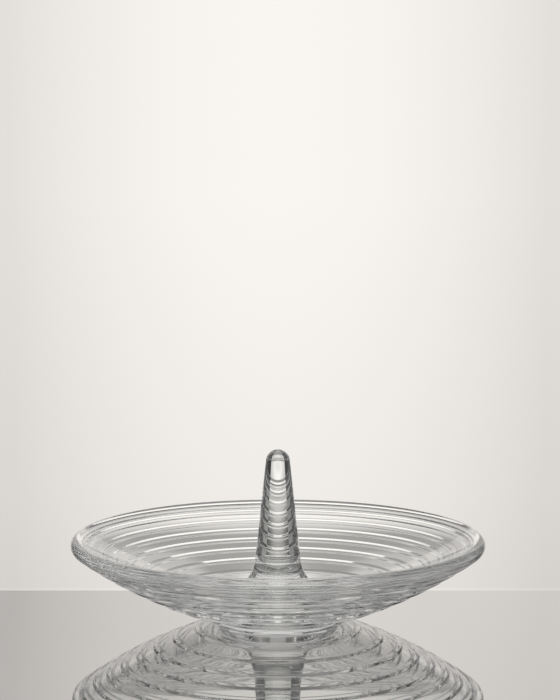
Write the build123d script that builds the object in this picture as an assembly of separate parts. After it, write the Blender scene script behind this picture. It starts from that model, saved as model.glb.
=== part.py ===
from build123d import *
import os
from math import acos, asin, atan2, cos, hypot, pi, radians, sin, sqrt

# Ring dish of clear pressed glass, in millimetres. It stands on z = 0 and is round about the Z axis.
# Finger rings lie in the shallow bowl or drop over the tapered spike in its middle.
# The outlines below are half sections, with the first number the radius and the second the height.

# Bowl
rim_diameter = 120.0  # outermost size, over the lip
rim_height = 24.6  # top of the lip above the table
lip_radius = 2.0  # bead that the wall ends in
lip_proud = 0.4  # how far the bead stands out of the underside
foot_diameter = 37.0  # ground flat that the dish stands on
foot_height = 1.0  # upright edge of the foot
foot_bevel = 0.3  # ground off the foot's lower edge
underside_radius = 141.5  # curve of the underside, from the foot to the lip

# Inside of the wall, one free curve from the lip down to the edge of a well round the collar
well_diameter = 39.0
well_height = 8.0  # edge of the well above the table
well_slope = 20.3  # degrees that the inside falls at there
lip_pull = 12.0  # handle of the curve down from the lip
wall_pull = 9.0  # its handle up the wall from the well

# Rings that stand out of the underside, at even steps of height
ring_count = 8
first_ring_height = 2.6
last_ring_drop = 3.0  # top ring below the middle of the lip
ring_width = 2.48  # at its root
ring_crest_width = 1.0  # narrow flat that its two flanks rise to
ring_proud = 0.44  # how far a ring stands out of the underside

# Collar, which sweeps down from the seam, across the well and on to the wall
seam_rise = 9.6  # top of the collar above the edge of the well
collar_pull = 5.0  # handle of the sweep down from the seam
well_pull = 7.0  # its handle across the well

# Spike, which is fused to the collar
spike_length = 32.4  # from the collar to the tip
spike_foot_diameter = 13.2
tip_radius = 3.5  # ball that the tip ends in
seam_bevel = 0.2  # soft edge on each side of the seam

# Points on each curve that is laid round a circle
lip_points = 6
tip_points = 5

base_radius = foot_diameter / 2
lip_centre = (rim_diameter / 2 - lip_radius, rim_height - lip_radius)
spike_radius = spike_foot_diameter / 2

# The spike's side leaves the seam's edge and touches the ball of the tip. It leans in by this angle.
ball_above_seam = spike_length - tip_radius
spike_lean = atan2(spike_radius, ball_above_seam) - asin(tip_radius / hypot(spike_radius, ball_above_seam))

seam_height = well_height + seam_rise
spike_height = seam_height + spike_length


def touching_centre(near, near_reach, far, far_reach):
    """The point that lies near_reach from near and far_reach from far, on the left of near to far."""
    span = hypot(far[0] - near[0], far[1] - near[1])
    along = (near_reach**2 - far_reach**2 + span**2) / (span + span)
    across = sqrt(near_reach**2 - along**2)
    u, v = (far[0] - near[0]) / span, (far[1] - near[1]) / span
    return near[0] + along * u - across * v, near[1] + along * v + across * u


def on_circle(centre, radius, turn):
    """The point of a circle at that angle."""
    return centre[0] + radius * cos(turn), centre[1] + radius * sin(turn)


def round_curve(centre, radius, start, end, count):
    """Curve along a circle from the angle start to the angle end, through count points."""
    turns = [start + (end - start) * i / (count - 1) for i in range(count)]
    return Spline(*(on_circle(centre, radius, turn) for turn in turns))


def turned(section):
    """The solid that a half section sweeps about the Z axis."""
    return revolve(Plane.XZ * section, Axis.Z)


# The bead's circle reaches a little through the underside's arc, and leaves a crease where they cross.
lip_reach = underside_radius - lip_radius + lip_proud
underside_centre = touching_centre((base_radius, foot_height), underside_radius, lip_centre, lip_reach)
base_turn = atan2(foot_height - underside_centre[1], base_radius - underside_centre[0])
lip_turn = atan2(lip_centre[1] - underside_centre[1], lip_centre[0] - underside_centre[0])
crease_turn = lip_turn - acos(
    (underside_radius**2 + lip_reach**2 - lip_radius**2) / (2 * underside_radius * lip_reach)
)


def on_underside(turn, out=0):
    """The point of the underside at that angle about its centre, or so far out of the glass."""
    return on_circle(underside_centre, underside_radius + out, turn)


def underside():
    """The underside from the foot to the crease, with each ring's two flanks and flat crest."""
    rise = (lip_centre[1] - last_ring_drop - first_ring_height) / (ring_count - 1)
    root, crest = (width / 2 / underside_radius for width in (ring_width, ring_crest_width))
    edges, last = [], base_turn
    for i in range(ring_count):
        middle = asin((first_ring_height + i * rise - underside_centre[1]) / underside_radius)
        corners = [
            on_underside(last),
            on_underside(middle - root),
            on_underside(middle - crest, ring_proud),
            on_underside(middle + crest, ring_proud),
            on_underside(middle + root),
        ]
        edges.append(RadiusArc(corners[0], corners[1], -underside_radius))
        edges += [Line(a, b) for a, b in zip(corners[1:], corners[2:])]
        last = middle + root
    edges.append(RadiusArc(on_underside(last), on_underside(crease_turn), -underside_radius))
    return edges


def dish():
    """Bowl with its foot, rings, lip, inside and collar."""
    crease = on_underside(crease_turn)
    bead_start = atan2(crease[1] - lip_centre[1], crease[0] - lip_centre[0])
    lip_end = on_circle(lip_centre, lip_radius, lip_turn + pi)
    well = (well_diameter / 2, well_height)
    down_the_lip, up_the_wall = lip_turn - pi / 2, radians(well_slope)
    neck = (spike_radius + seam_bevel * sin(spike_lean), seam_height - seam_bevel * cos(spike_lean))
    seam_edge = (spike_radius - seam_bevel, seam_height)
    outline = [
        Line((0, 0), (base_radius - foot_bevel, 0)),
        Line((base_radius - foot_bevel, 0), (base_radius, foot_bevel)),
        Line((base_radius, foot_bevel), (base_radius, foot_height)),
        *underside(),
        round_curve(lip_centre, lip_radius, bead_start, lip_turn + pi, lip_points),
        Bezier(
            lip_end,
            on_circle(lip_end, lip_pull, down_the_lip),
            on_circle(well, wall_pull, up_the_wall),
            well,
        ),
        Bezier(
            well,
            on_circle(well, -well_pull, up_the_wall),
            on_circle(neck, collar_pull, spike_lean - pi / 2),
            neck,
        ),
        Line(neck, seam_edge),
        Line(seam_edge, (0, seam_height)),
        Line((0, seam_height), (0, 0)),
    ]
    return turned(make_face(outline))


def ring_cone():
    """Spike with a flat foot, a straight taper and a ball tip."""
    foot_edge = (spike_radius - seam_bevel, seam_height)
    side_start = (spike_radius - seam_bevel * sin(spike_lean), seam_height + seam_bevel * cos(spike_lean))
    ball_centre = (0, spike_height - tip_radius)
    outline = [
        Line((0, seam_height), foot_edge),
        Line(foot_edge, side_start),
        Bezier(side_start, on_circle(ball_centre, tip_radius, spike_lean)),
        round_curve(ball_centre, tip_radius, spike_lean, pi / 2, tip_points),
        Line((0, spike_height), (0, seam_height)),
    ]
    return turned(make_face(outline))


os.makedirs("parts", exist_ok=True)
for name, shape in (("dish", dish()), ("ring_cone", ring_cone())):
    export_step(shape, f"parts/{name}.step")
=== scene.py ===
import math

import bpy
from bpy.props import FloatProperty, FloatVectorProperty, IntProperty, PointerProperty
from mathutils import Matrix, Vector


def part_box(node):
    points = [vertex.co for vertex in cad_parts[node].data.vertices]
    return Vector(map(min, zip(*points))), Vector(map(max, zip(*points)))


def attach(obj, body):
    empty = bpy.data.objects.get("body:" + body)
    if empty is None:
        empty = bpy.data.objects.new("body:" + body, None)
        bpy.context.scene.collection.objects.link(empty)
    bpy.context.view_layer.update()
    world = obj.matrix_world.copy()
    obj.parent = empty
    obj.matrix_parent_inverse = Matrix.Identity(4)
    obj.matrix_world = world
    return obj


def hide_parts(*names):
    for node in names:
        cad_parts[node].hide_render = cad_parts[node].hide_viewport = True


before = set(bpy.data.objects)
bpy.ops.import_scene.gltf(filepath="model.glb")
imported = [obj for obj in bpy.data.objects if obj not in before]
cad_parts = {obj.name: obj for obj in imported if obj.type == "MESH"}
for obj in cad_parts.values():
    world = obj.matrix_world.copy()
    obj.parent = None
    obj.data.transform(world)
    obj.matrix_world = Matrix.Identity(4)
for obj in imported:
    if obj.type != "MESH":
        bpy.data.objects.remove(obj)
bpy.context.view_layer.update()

bl_info = {
    "name": "Ring Dish",
    "version": (1, 0, 0),
    "blender": (4, 5, 0),
    "location": "3D View > Sidebar > Ring Dish",
    "description": "Pressed glass ring dish with a tapered spike, on its studio stage",
    "category": "Add Mesh",
}

# The glass is round about the Z axis and stands on z = 0. The camera looks along +Y.
MM = 0.001
DISH_LOW, DISH_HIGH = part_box("dish")
SPIKE_LOW, SPIKE_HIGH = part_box("ring_cone")

# How finely the glass is drawn
SIDES_ROUND = 340  # facets round the axis; the glass shows broken streaks when they are much wider
UNDERSIDE_STEP = 1.5 * MM  # between points of the arc that the rings stand on
LIP_STEP = 0.2 * MM
TAPER_STEP = 2 * MM
TIP_STEP = 0.12 * MM
INSIDE_SPANS = 36  # from the lip down to the well
SWEEP_SPANS = 30  # from the well up to the seam
CORNER_SPANS = 4  # round each softened corner
SLIGHT_BEND = math.radians(5)  # corners that bend less stay as they are
SHARP_EDGE = math.radians(34)  # edges that bend more are shaded as edges
SAME_HEIGHT = 0.001 * MM  # points this close in height lie on one flat

# Materials that both pieces share
GLASS = "soda_lime_glass_pressed_fire_polished"
SEAL = "glass_to_glass_fused_seal"

# Table top, in metres; its far edge is a setting
TABLE_HALF_WIDTH = 1.2
TABLE_NEAR = -3.0  # its edge on the camera's side
TABLE_UNDER = -20 * MM
TABLE_GAP = 0.03 * MM  # under the foot, so that the two faces don't flicker

# Upright wall behind the table, in metres
WALL_BACK = 0.54
WALL_HALF_WIDTH = 0.235
WALL_FADE_AT, WALL_FADE_TO = 0.136, 0.81  # so far from its middle, this share of its light is left

# Camera, from a fit to the outline of the dish and of its mirror image in the photograph
CAMERA_PLACE = (0.0006, -0.700, 0.1643)
CAMERA_FALL = 6.955  # degrees that it looks down
FOCAL_PIXELS, PICTURE_PIXELS = 2453.3, 700  # focal length, and the height of the picture
SENSOR = 36  # mm
NEAREST = 10 * MM  # what is closer isn't drawn

# How often light may turn in the glass and between mirrors before it is given up
GLASS_BOUNCES, MIRROR_BOUNCES = 24, 16


# Colours and nodes


def srgb(code):
    """Linear colour of an sRGB hex code."""
    parts = [int(code[i : i + 2], 16) / 255 for i in (0, 2, 4)]
    return tuple(p / 12.92 if p <= 0.04045 else ((p + 0.055) / 1.055) ** 2.4 for p in parts)


def add_node(tree, kind, settings=None, values=None, links=None):
    """A node of that kind with its settings, socket values and links from other nodes' sockets."""
    node = tree.nodes.new(kind)
    for name, value in (settings or {}).items():
        setattr(node, name, value)
    for name, value in (values or {}).items():
        node.inputs[name].default_value = value
    for name, source in (links or {}).items():
        tree.links.new(source, node.inputs[name])
    return node


def coordinates(tree, kind):
    """The X, Y and Z sockets of that kind of coordinates."""
    place = add_node(tree, "ShaderNodeTexCoord")
    return add_node(tree, "ShaderNodeSeparateXYZ", links={"Vector": place.outputs[kind]}).outputs


def new_material(name):
    """An empty node material and its output node."""
    material = bpy.data.materials.new(name)
    material.use_nodes = True
    material.node_tree.nodes.clear()
    return material, add_node(material.node_tree, "ShaderNodeOutputMaterial")


# Sizes and colours that a user would change


class DishSizes(bpy.types.PropertyGroup):
    """Sizes of the bowl, the rings round its underside and its collar."""

    rim_diameter: FloatProperty(
        name="Rim diameter", description="Outermost size of the bowl", unit="LENGTH",
        default=round(DISH_HIGH.x - DISH_LOW.x, 4),
    )
    rim_height: FloatProperty(
        name="Rim height", description="Top of the lip above the table", unit="LENGTH",
        default=24.6 * MM,
    )
    lip_radius: FloatProperty(
        name="Lip radius", description="Fire-polished bead that the wall ends in", unit="LENGTH",
        default=2.0 * MM,
    )
    lip_proud: FloatProperty(
        name="Lip height", description="How far the bead stands out of the underside", unit="LENGTH",
        default=0.4 * MM,
    )
    foot_diameter: FloatProperty(
        name="Foot diameter", description="Ground flat that the dish stands on", unit="LENGTH",
        default=37.0 * MM,
    )
    foot_height: FloatProperty(
        name="Foot height", description="Upright edge of the foot", unit="LENGTH",
        default=1.0 * MM,
    )
    foot_bevel: FloatProperty(
        name="Foot bevel", description="Ground off the foot's lower edge", unit="LENGTH",
        default=0.3 * MM,
    )
    underside_radius: FloatProperty(
        name="Underside radius", description="Curve of the underside from foot to lip", unit="LENGTH",
        default=141.5 * MM,
    )
    well_diameter: FloatProperty(
        name="Well diameter", description="Where the wall ends and the collar's sweep begins",
        unit="LENGTH", default=39.0 * MM,
    )
    well_height: FloatProperty(
        name="Well height", description="The inside there, above the table", unit="LENGTH",
        default=8.0 * MM,
    )
    well_slope: FloatProperty(
        name="Well slope", description="Fall of the inside there", unit="ROTATION",
        default=math.radians(20.3),
    )
    lip_pull: FloatProperty(
        name="Lip pull", description="Handle of the inside's curve down from the lip", unit="LENGTH",
        default=12.0 * MM,
    )
    wall_pull: FloatProperty(
        name="Wall pull", description="Its handle up the wall from the well", unit="LENGTH",
        default=9.0 * MM,
    )
    well_pull: FloatProperty(
        name="Well pull", description="Handle of the collar's sweep across the well", unit="LENGTH",
        default=7.0 * MM,
    )
    collar_pull: FloatProperty(
        name="Collar pull", description="Its handle down from the seam", unit="LENGTH",
        default=5.0 * MM,
    )
    ring_count: IntProperty(
        name="Rings", description="Raised rings round the underside", default=8,
    )
    first_ring_height: FloatProperty(
        name="First ring height", description="Lowest ring above the table", unit="LENGTH",
        default=2.6 * MM,
    )
    last_ring_drop: FloatProperty(
        name="Last ring drop", description="Top ring below the middle of the lip", unit="LENGTH",
        default=3.0 * MM,
    )
    ring_width: FloatProperty(
        name="Ring width", description="Width of a ring at its root", unit="LENGTH",
        default=2.48 * MM,
    )
    crest_width: FloatProperty(
        name="Crest width", description="Width of a ring's flat crest", unit="LENGTH",
        default=1.0 * MM,
    )
    ring_proud: FloatProperty(
        name="Ring height", description="How far a ring stands out of the underside", unit="LENGTH",
        default=0.44 * MM,
    )
    ring_softness: FloatProperty(
        name="Ring softness", description="Width over which fire polish rounds a ring's corners",
        unit="LENGTH", default=0.24 * MM,
    )


class SpikeSizes(bpy.types.PropertyGroup):
    """Sizes of the spike that finger rings drop over."""

    foot_diameter: FloatProperty(
        name="Foot diameter", description="Spike where it meets the collar", unit="LENGTH",
        default=13.2 * MM,
    )
    seam_height: FloatProperty(
        name="Seam height", description="Where spike and collar meet, above the table", unit="LENGTH",
        default=SPIKE_LOW.z,
    )
    seam_bevel: FloatProperty(
        name="Seam bevel", description="Soft edge on each side of the seam", unit="LENGTH",
        default=0.2 * MM,
    )
    tip_height: FloatProperty(
        name="Tip height", description="Tip of the spike above the table", unit="LENGTH",
        default=SPIKE_HIGH.z,
    )
    tip_radius: FloatProperty(
        name="Tip radius", description="Ball that the spike ends in", unit="LENGTH",
        default=3.5 * MM,
    )


class GlassLooks(bpy.types.PropertyGroup):
    """Colour and surface of the glass."""

    tint: FloatVectorProperty(
        name="Tint", description="Colour that light takes on in the glass", subtype="COLOR",
        default=srgb("FDFEFD"),
    )
    ripple_spacing: FloatProperty(
        name="Ripple spacing", description="Width of the faint swells that the mould leaves", unit="LENGTH",
        default=9.0 * MM,
    )
    ripple_height: FloatProperty(
        name="Ripple height", description="How high those swells could stand", unit="LENGTH",
        default=0.01 * MM,
    )
    ripple_strength: FloatProperty(
        name="Ripple strength", description="Share of that height that shows", subtype="FACTOR",
        default=0.05,
    )


class StageLooks(bpy.types.PropertyGroup):
    """The table that the dish stands on."""

    table_edge: FloatProperty(
        name="Table edge", description="Far edge of the table behind the dish's middle", unit="LENGTH",
        default=38.0 * MM,
    )
    table_colour: FloatVectorProperty(
        name="Table colour", description="Matt grey body under the lacquer", subtype="COLOR",
        default=srgb("BDBDBE"),
    )
    matt_share: FloatProperty(
        name="Matt share", description="Share of the matt body in what shows of the table",
        subtype="FACTOR", default=0.1,
    )


# Outlines of the glass, as (radius, height) points from the axis round to the axis again


def touching_centre(near, near_reach, far, far_reach):
    """The point that lies near_reach from near and far_reach from far, on the left of near to far."""
    span = math.dist(near, far)
    along = (near_reach**2 - far_reach**2 + span**2) / (2 * span)
    across = math.sqrt(near_reach**2 - along**2)
    u, v = (far[0] - near[0]) / span, (far[1] - near[1]) / span
    return near[0] + along * u - across * v, near[1] + along * v + across * u


def direction(centre, point):
    """Angle of point as seen from centre."""
    return math.atan2(point[1] - centre[1], point[0] - centre[0])


def on_circle(centre, radius, turn):
    """The point of a circle at that angle."""
    return centre[0] + radius * math.cos(turn), centre[1] + radius * math.sin(turn)


def mixed(points, shares):
    """The sum of the points, each times its share."""
    return tuple(sum(w * p[k] for w, p in zip(shares, points)) for k in (0, 1))


def arc_points(centre, radius, start, end, step):
    """Points round an arc, no further apart than step, with both ends."""
    count = max(2, math.ceil(abs(end - start) * radius / step))
    return [on_circle(centre, radius, start + (end - start) * i / count) for i in range(count + 1)]


def line_points(start, end, step):
    """Points along a line, no further apart than step, with both ends."""
    count = max(1, math.ceil(math.dist(start, end) / step))
    return [
        tuple(a + (b - a) * i / count for a, b in zip(start, end))
        for i in range(count + 1)
    ]


def bezier_points(corners, count):
    """Points along the cubic Bezier curve that four points steer, with both ends."""
    points = []
    for i in range(count + 1):
        t = i / count
        points.append(mixed(corners, ((1 - t) ** 3, 3 * t * (1 - t) ** 2, 3 * t**2 * (1 - t), t**3)))
    return points


def spike_lean(spike):
    """Angle from upright of the spike's side, which leaves the seam's edge and touches the ball."""
    across = spike.foot_diameter / 2
    up = spike.tip_height - spike.tip_radius - spike.seam_height
    return math.atan2(across, up) - math.asin(spike.tip_radius / math.hypot(across, up))


def softened(corners, softness):
    """The path through corners, with each one that bends more than slightly rounded off."""
    path = [corners[0]]
    for before, corner, after in zip(corners, corners[1:], corners[2:]):
        if abs(direction(corner, after) - direction(before, corner)) < SLIGHT_BEND:
            path.append(corner)
            continue
        start, end = (
            tuple(c + (f - c) * softness / 2 / math.dist(corner, far) for c, f in zip(corner, far))
            for far in (before, after)
        )
        for i in range(CORNER_SPANS + 1):
            t = i / CORNER_SPANS
            path.append(mixed((start, corner, end), ((1 - t) ** 2, 2 * t * (1 - t), t**2)))
    return path + [corners[-1]]


def underside_points(dish, centre, start, end):
    """The underside from the foot to the lip's crease, with the rings' flanks and crests."""
    big = dish.underside_radius
    lip_middle = dish.rim_height - dish.lip_radius
    rise = (lip_middle - dish.last_ring_drop - dish.first_ring_height) / (dish.ring_count - 1)
    root, crest = dish.ring_width / 2 / big, dish.crest_width / 2 / big
    corners, last = [], start
    for i in range(dish.ring_count):
        middle = math.asin((dish.first_ring_height + i * rise - centre[1]) / big)
        corners += arc_points(centre, big, last, middle - root, UNDERSIDE_STEP)
        corners += [on_circle(centre, big + dish.ring_proud, middle + side) for side in (-crest, crest)]
        last = middle + root
    corners += arc_points(centre, big, last, end, UNDERSIDE_STEP)
    return softened(corners, dish.ring_softness)


def dish_outline(dish, spike):
    """Half section of the bowl: foot, underside with rings, lip, inside, sweep and collar."""
    foot = (dish.foot_diameter / 2, dish.foot_height)
    bead, big = dish.lip_radius, dish.underside_radius
    lip = (dish.rim_diameter / 2 - bead, dish.rim_height - bead)
    reach = big - bead + dish.lip_proud
    centre = touching_centre(foot, big, lip, reach)
    start, end = direction(centre, foot), direction(centre, lip)
    crease = end - math.acos((big**2 + reach**2 - bead**2) / (2 * big * reach))
    underside = underside_points(dish, centre, start, crease)
    rim = arc_points(lip, bead, direction(lip, underside[-1]), end + math.pi, LIP_STEP)
    well, slope = (dish.well_diameter / 2, dish.well_height), dish.well_slope
    collar, seam = spike.foot_diameter / 2, spike.seam_height
    down_the_lip, down_the_spike = end - math.pi / 2, spike_lean(spike) - math.pi / 2
    neck = on_circle((collar, seam), spike.seam_bevel, down_the_spike)
    inside = bezier_points((
        rim[-1],
        on_circle(rim[-1], dish.lip_pull, down_the_lip),
        on_circle(well, dish.wall_pull, slope),
        well,
    ), INSIDE_SPANS)
    sweep = bezier_points((
        well,
        on_circle(well, -dish.well_pull, slope),
        on_circle(neck, dish.collar_pull, down_the_spike),
        neck,
    ), SWEEP_SPANS)
    return [
        (0.0, 0.0), (foot[0] - dish.foot_bevel, 0.0), (foot[0], dish.foot_bevel), foot,
        *underside[1:], *rim[1:], *inside[1:], *sweep[1:],
        (collar - spike.seam_bevel, seam), (0.0, seam),
    ]


def spike_outline(spike):
    """Half section of the spike: flat foot, straight taper and ball tip."""
    lean, bevel, round_tip = spike_lean(spike), spike.seam_bevel, spike.tip_radius
    collar, seam = spike.foot_diameter / 2, spike.seam_height
    ball = (0.0, spike.tip_height - round_tip)
    low = on_circle((collar, seam), bevel, lean + math.pi / 2)
    return [
        (0.0, seam), (collar - bevel, seam),
        *line_points(low, on_circle(ball, round_tip, lean), TAPER_STEP),
        *arc_points(ball, round_tip, lean, math.pi / 2, TIP_STEP)[1:],
    ]


def mesh_object(name, points, faces):
    """Object with a mesh of those points and faces."""
    mesh = bpy.data.meshes.new(name)
    mesh.from_pydata(points, [], faces)
    thing = bpy.data.objects.new(name, mesh)
    bpy.context.collection.objects.link(thing)
    return thing


def turned(name, outline):
    """Object made by turning an outline about the Z axis; its first and last points lie on the axis."""
    sides, rows = SIDES_ROUND, len(outline) - 2
    turns = [2 * math.pi * k / sides for k in range(sides)]
    points = [(r * math.cos(t), r * math.sin(t), z) for r, z in outline[1:-1] for t in turns]
    low, high = len(points), len(points) + 1
    points += [(0.0, 0.0, outline[0][1]), (0.0, 0.0, outline[-1][1])]
    faces = []
    for row in range(rows - 1):
        for k in range(sides):
            a, b = row * sides + k, row * sides + (k + 1) % sides
            faces.append((a, b, b + sides, a + sides))
    last = (rows - 1) * sides
    for k in range(sides):
        faces.append(((k + 1) % sides, k, low))
        faces.append((last + k, last + (k + 1) % sides, high))
    piece = mesh_object(name, points, faces)
    piece.data.shade_smooth()
    piece.data.set_sharp_from_angle(angle=SHARP_EDGE)
    # The wide faces keep their own slope, and only the narrow ones beside them shade round the corners.
    piece.modifiers.new("even_slopes", "WEIGHTED_NORMAL").keep_sharp = True
    return piece


# Materials of the glass


def pressed_glass(looks):
    """Soda-lime glass, pressed and fire polished.

    It is clear and colourless, with a hard mirror gloss; the mould leaves swells too faint to feel,
    which bend the reflections a little.
    """
    material, output = new_material(GLASS)
    tree = material.node_tree
    place = add_node(tree, "ShaderNodeTexCoord")
    swell = add_node(
        tree, "ShaderNodeTexNoise",
        values={"Scale": 1 / looks.ripple_spacing, "Detail": 1.0, "Roughness": 0.4},
        links={"Vector": place.outputs["Object"]},
    )
    bump = add_node(
        tree, "ShaderNodeBump",
        values={"Strength": looks.ripple_strength, "Distance": looks.ripple_height},
        links={"Height": swell.outputs["Fac"]},
    )
    glass = add_node(
        tree, "ShaderNodeBsdfPrincipled",
        values={
            "Base Color": (*looks.tint, 1.0),
            "Roughness": 0.0,
            "IOR": 1.5,
            "Transmission Weight": 1.0,
        },
        links={"Normal": bump.outputs["Normal"]},
    )
    tree.links.new(glass.outputs["BSDF"], output.inputs["Surface"])
    return material


def optical_seal():
    """Glass fused to glass: nothing reflects or bends where the two pieces are joined."""
    material, output = new_material(SEAL)
    clear = add_node(material.node_tree, "ShaderNodeBsdfTransparent")
    material.node_tree.links.new(clear.outputs["BSDF"], output.inputs["Surface"])
    return material


def glaze(piece, scene):
    """Gives a piece its glass, and gives the seal to the flat where spike and collar are joined.

    Each of the two materials is made once.
    """
    mesh, seam = piece.data, scene.ring_spike.seam_height
    mesh.materials.append(bpy.data.materials.get(GLASS) or pressed_glass(scene.ring_glass))
    mesh.materials.append(bpy.data.materials.get(SEAL) or optical_seal())
    for face in mesh.polygons:
        if all(abs(mesh.vertices[v].co.z - seam) < SAME_HEIGHT for v in face.vertices):
            face.material_index = 1  # the seal


# Light of the studio. The steps below are (degrees above the horizon, light): straight behind the
# table, then in bands to either side of that, as far as the camera's side.
BEHIND = (
    (-90, 0.22), (-38, 0.25),  # dark floor
    (-30, 0.55), (20, 0.55),  # pale wall, most of it hidden by the diffuser
    (50, 0.30),  # gap over the diffuser
    (75, 0.95), (90, 0.95),  # lamp overhead
)
FLAGS = (
    (-90, 0.02), (-27, 0.02),  # black cloth
    (-24, 0.25), (-22, 0.25),  # slit between the cloth and the flag
    (-20.5, 0.01), (-12, 0.01),  # black flag
    (4, 0.33), (30, 0.32),  # grey flag
    (50, 0.04),  # gap over it
    (62, 0.38), (90, 0.50),  # ceiling
)
WINGS = (
    (-90, 0.10), (-50, 0.03), (-16, 0.03),  # black cloth
    (-6, 0.14), (3, 0.72), (12, 0.80), (19, 0.18),  # long strip lamp
    (30, 0.05), (50, 0.08),  # dark room
    (62, 0.42), (90, 0.55),  # ceiling
)
SIDES = (
    (-90, 0.36), (-10, 0.36),  # floor
    (0, 0.65), (12, 0.80), (20, 0.45),  # strip lamp
    (40, 0.09), (50, 0.08),  # dark room
    (62, 0.50), (90, 0.70),  # ceiling
)
BEFORE = (
    (-90, 0.55), (-20, 0.42), (-8, 0.42),  # floor and near end of the table
    (4, 0.70), (12, 0.88), (20, 0.80),  # broad lamp by the camera
    (28, 0.25), (62, 0.30),  # dim room
    (90, 0.55),  # ceiling
)

# How far to the side of straight behind each further band starts, in degrees
BANDS = ((24, FLAGS), (38, WINGS), (75, SIDES), (110, BEFORE))
BAND_SOFTNESS = 1 / 12  # share of that over which a band comes in, on each side of its start
RIGHTWARD = 0.3  # share of light that the studio gains towards the right

# Brightness of the upright wall behind the table by height, as (mm, light). The camera sees it down to
# the table's far edge, 112 mm below the table's top, and the glass sees the rest.
WALL_LIGHT = (
    (-420, 0.85), (-370, 1.12), (-290, 1.15), (-268, 1.02),  # lit floor at the wall's foot
    (-260, 0.12), (-222, 0.08),  # dark gap
    (-190, 0.58), (-172, 0.56),  # pale skirt
    (-164, 0.38), (-148, 0.38),  # rail in the skirt
    (-140, 0.62), (-118, 1.02), (-113, 1.02),  # lamp behind the table's edge
    (-112, 0.82), (-60, 0.87), (90, 0.95), (200, 0.95),  # diffuser
)

# Gloss of the table by distance to the right of the dish's middle, as (mm, share of light mirrored). Its
# rise to the right is painted light, for the studio's light that falls more strongly there.
TABLE_GLOSS_WITH_PAINTED_LIGHT = ((-80, 0.51), (-66, 0.58), (-46, 0.635), (46, 0.73), (80, 0.815))

# Blue of the light as a share of its red
STUDIO_BLUE = 0.985
WALL_BLUE = 0.93


# Stage


def light_ramp(tree, steps, value, unit, blue=STUDIO_BLUE):
    """Colour ramp of light over a socket's value. Its green lies halfway between its red and blue."""
    share = add_node(
        tree, "ShaderNodeMapRange", links={"Value": value},
        values={"From Min": steps[0][0] * unit, "From Max": steps[-1][0] * unit},
    )
    ramp = add_node(tree, "ShaderNodeValToRGB", links={"Fac": share.outputs["Result"]})
    bar = ramp.color_ramp
    bar.elements.remove(bar.elements[1])  # a new ramp has two stops
    for i, (at, light) in enumerate(steps):
        position = (at - steps[0][0]) / (steps[-1][0] - steps[0][0])
        spot = bar.elements[0] if i == 0 else bar.elements.new(position)
        spot.position = position
        spot.color = (light, light * (1 + blue) / 2, light * blue, 1)
    return ramp.outputs["Color"]


def blend(tree, share, first, second):
    """Colour that goes from the first socket's to the second's as share goes from 0 to 1."""
    node = add_node(tree, "ShaderNodeMix", settings={"data_type": "RGBA"}, links={"Factor": share})
    colours = [socket for socket in node.inputs if socket.type == "RGBA"]
    tree.links.new(first, colours[0])
    tree.links.new(second, colours[1])
    return next(socket for socket in node.outputs if socket.type == "RGBA")


def soft_step(tree, value, low, high):
    """Share that rises smoothly from 0 at low to 1 at high."""
    node = add_node(
        tree, "ShaderNodeMapRange", settings={"interpolation_type": "SMOOTHSTEP"},
        values={"From Min": low, "From Max": high}, links={"Value": value},
    )
    return node.outputs["Result"]


def studio_world():
    """Soft studio surround: lamps on the camera's side and above, flags beside the diffuser."""
    world = bpy.data.worlds.new("studio")
    bpy.context.scene.world = world
    world.use_nodes = True
    tree = world.node_tree
    tree.nodes.clear()
    gaze = coordinates(tree, "Generated")
    rise = add_node(tree, "ShaderNodeMath", settings={"operation": "ARCSINE"}, links={0: gaze["Z"]})
    turn = add_node(
        tree, "ShaderNodeMath", settings={"operation": "ARCTAN2"}, links={0: gaze["X"], 1: gaze["Y"]}
    )
    aside = add_node(tree, "ShaderNodeMath", settings={"operation": "ABSOLUTE"}, links={0: turn.outputs[0]})
    degree = math.radians(1)
    whole = light_ramp(tree, BEHIND, rise.outputs[0], degree)
    for start, steps in BANDS:
        soft = start * BAND_SOFTNESS
        past = soft_step(tree, aside.outputs[0], (start - soft) * degree, (start + soft) * degree)
        whole = blend(tree, past, whole, light_ramp(tree, steps, rise.outputs[0], degree))
    lean = add_node(
        tree, "ShaderNodeMapRange", links={"Value": gaze["X"]},
        values={"From Min": -1.0, "From Max": 1.0, "To Min": 1 - RIGHTWARD, "To Max": 1 + RIGHTWARD},
    )
    light = add_node(
        tree, "ShaderNodeBackground", links={"Color": whole, "Strength": lean.outputs["Result"]}
    )
    add_node(tree, "ShaderNodeOutputWorld", links={"Surface": light.outputs["Background"]})


def polished_resin(looks):
    """Pale grey resin, ground and polished.

    Its lacquer mirrors what stands on it at about two thirds of its brightness, and a trace of the matt
    grey body shows through it.
    The mirror's colour grows lighter to the right: painted light, for the studio's light that falls more
    strongly there.
    """
    material, output = new_material("resin_table_top_polished")
    tree = material.node_tree
    # Mirror colour that grows lighter to the right: painted light, for the light that falls more strongly
    # on that side
    mirror = add_node(
        tree, "ShaderNodeBsdfPrincipled", values={"Metallic": 1.0, "Roughness": 0.02},
        links={"Base Color": light_ramp(tree, TABLE_GLOSS_WITH_PAINTED_LIGHT, coordinates(tree, "Object")["X"], MM)},
    )
    matt = add_node(tree, "ShaderNodeBsdfDiffuse", values={"Color": (*looks.table_colour, 1.0)})
    whole = add_node(tree, "ShaderNodeMixShader", values={"Fac": looks.matt_share})
    tree.links.new(mirror.outputs["BSDF"], whole.inputs[1])
    tree.links.new(matt.outputs["BSDF"], whole.inputs[2])
    tree.links.new(whole.outputs["Shader"], output.inputs["Surface"])
    return material


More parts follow.
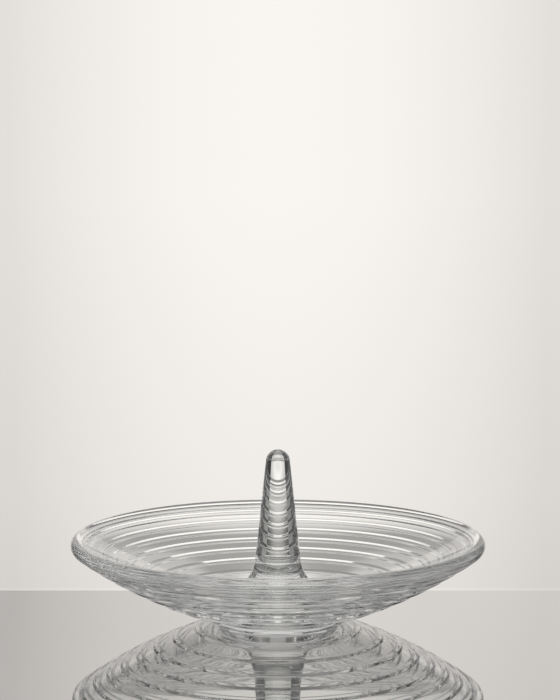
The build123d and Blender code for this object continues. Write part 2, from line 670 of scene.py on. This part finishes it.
def backlit_acrylic():
    """Opal acrylic sheet, cast, with lamps behind it.

    It glows evenly and a little warmer than white, with a soft fall to its sides. The lamp, the skirt
    and the lit floor below the table's edge are part of it, and show only in the glass.
    """
    material, output = new_material("diffuser_acrylic_backlit")
    tree = material.node_tree
    place = coordinates(tree, "Object")
    aside = add_node(
        tree, "ShaderNodeMath", settings={"operation": "POWER"}, values={1: 2.0}, links={0: place["X"]}
    )
    fall = add_node(
        tree, "ShaderNodeMapRange", settings={"clamp": True},
        values={"From Min": 0.0, "From Max": WALL_FADE_AT**2, "To Min": 1.0, "To Max": WALL_FADE_TO},
        links={"Value": aside.outputs[0]},
    )
    light = light_ramp(tree, WALL_LIGHT, place["Z"], MM, blue=WALL_BLUE)
    glow = add_node(
        tree, "ShaderNodeEmission", links={"Color": light, "Strength": fall.outputs["Result"]}
    )
    tree.links.new(glow.outputs["Emission"], output.inputs["Surface"])
    return material


def table_top(looks):
    """Slab that the dish stands on."""
    half, near, far = TABLE_HALF_WIDTH, TABLE_NEAR, looks.table_edge
    outline = [(-half, near), (half, near), (half, far), (-half, far)]
    points = [(x, y, z) for z in (TABLE_UNDER, -TABLE_GAP) for x, y in outline]
    sides = [(i, (i + 1) % 4, (i + 1) % 4 + 4, i + 4) for i in range(4)]
    table = mesh_object("table_top", points, [(3, 2, 1, 0), (4, 5, 6, 7), *sides])
    table.data.materials.append(polished_resin(looks))


def studio_wall():
    """Upright wall behind the table: a large backlit diffuser, which the camera looks straight at."""
    half, low, high = WALL_HALF_WIDTH, WALL_LIGHT[0][0] * MM, WALL_LIGHT[-1][0] * MM
    corners = [(-half, low), (half, low), (half, high), (-half, high)]
    panel = mesh_object("backdrop", [(x, WALL_BACK, z) for x, z in corners], [(0, 1, 2, 3)])
    panel.data.materials.append(backlit_acrylic())


def place_camera(scene):
    """Camera that sees what the photograph shows."""
    data = bpy.data.cameras.new("camera")
    data.sensor_width = SENSOR
    data.lens = SENSOR * FOCAL_PIXELS / PICTURE_PIXELS
    data.clip_start = NEAREST
    camera = bpy.data.objects.new("camera", data)
    camera.location = CAMERA_PLACE
    camera.rotation_euler = (math.radians(90 - CAMERA_FALL), 0, 0)
    scene.collection.objects.link(camera)
    scene.camera = camera


# Steps of the build


class RINGDISH_OT_bowl(bpy.types.Operator):
    """Make the bowl with its rings, lip and collar"""

    bl_idname = "ringdish.bowl"
    bl_label = "Bowl"

    def execute(self, context):
        scene = context.scene
        piece = turned("bowl", dish_outline(scene.ring_dish, scene.ring_spike))
        glaze(piece, scene)
        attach(piece, "root")
        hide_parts("dish")
        return {"FINISHED"}


class RINGDISH_OT_spike(bpy.types.Operator):
    """Make the tapered spike that finger rings drop over"""

    bl_idname = "ringdish.spike"
    bl_label = "Spike"

    def execute(self, context):
        scene = context.scene
        piece = turned("spike", spike_outline(scene.ring_spike))
        glaze(piece, scene)
        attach(piece, "root")
        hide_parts("ring_cone")
        return {"FINISHED"}


class RINGDISH_OT_stage(bpy.types.Operator):
    """Make the table, the wall behind it, the studio's light and the camera"""

    bl_idname = "ringdish.stage"
    bl_label = "Stage"

    def execute(self, context):
        scene = context.scene
        table_top(scene.ring_stage)
        studio_world()
        studio_wall()
        place_camera(scene)
        scene.view_settings.view_transform = "Standard"
        scene.cycles.max_bounces = scene.cycles.transmission_bounces = GLASS_BOUNCES
        scene.cycles.glossy_bounces = scene.cycles.transparent_max_bounces = MIRROR_BOUNCES
        return {"FINISHED"}


class RINGDISH_PT_sidebar(bpy.types.Panel):
    """Sidebar that lists the sizes, the looks and the steps of making the dish"""

    bl_idname = "RINGDISH_PT_sidebar"
    bl_label = "Ring Dish"
    bl_space_type = "VIEW_3D"
    bl_region_type = "UI"
    bl_category = "Ring Dish"

    def draw(self, context):
        scene = context.scene
        for title, group in (
            ("Bowl", scene.ring_dish), ("Spike", scene.ring_spike),
            ("Glass", scene.ring_glass), ("Stage", scene.ring_stage),
        ):
            box = self.layout.box()
            box.label(text=title)
            for name in group.__annotations__:
                box.prop(group, name)
        for step in (RINGDISH_OT_stage, RINGDISH_OT_bowl, RINGDISH_OT_spike):
            self.layout.operator(step.bl_idname)


CLASSES = (
    DishSizes, SpikeSizes, GlassLooks, StageLooks,
    RINGDISH_OT_bowl, RINGDISH_OT_spike, RINGDISH_OT_stage, RINGDISH_PT_sidebar,
)
SETTINGS = {
    "ring_dish": DishSizes, "ring_spike": SpikeSizes, "ring_glass": GlassLooks, "ring_stage": StageLooks,
}


def register():
    """Adds the classes and the scene's settings to Blender."""
    for item in CLASSES:
        bpy.utils.register_class(item)
    for name, group in SETTINGS.items():
        setattr(bpy.types.Scene, name, PointerProperty(type=group))


def unregister():
    """Takes the settings and the classes out of Blender again."""
    for name in SETTINGS:
        delattr(bpy.types.Scene, name)
    for item in reversed(CLASSES):
        bpy.utils.unregister_class(item)


def main():
    """Makes the stage and every piece."""
    register()
    bpy.ops.ringdish.stage()
    bpy.ops.ringdish.bowl()
    bpy.ops.ringdish.spike()


if __name__ == "__main__":
    main()
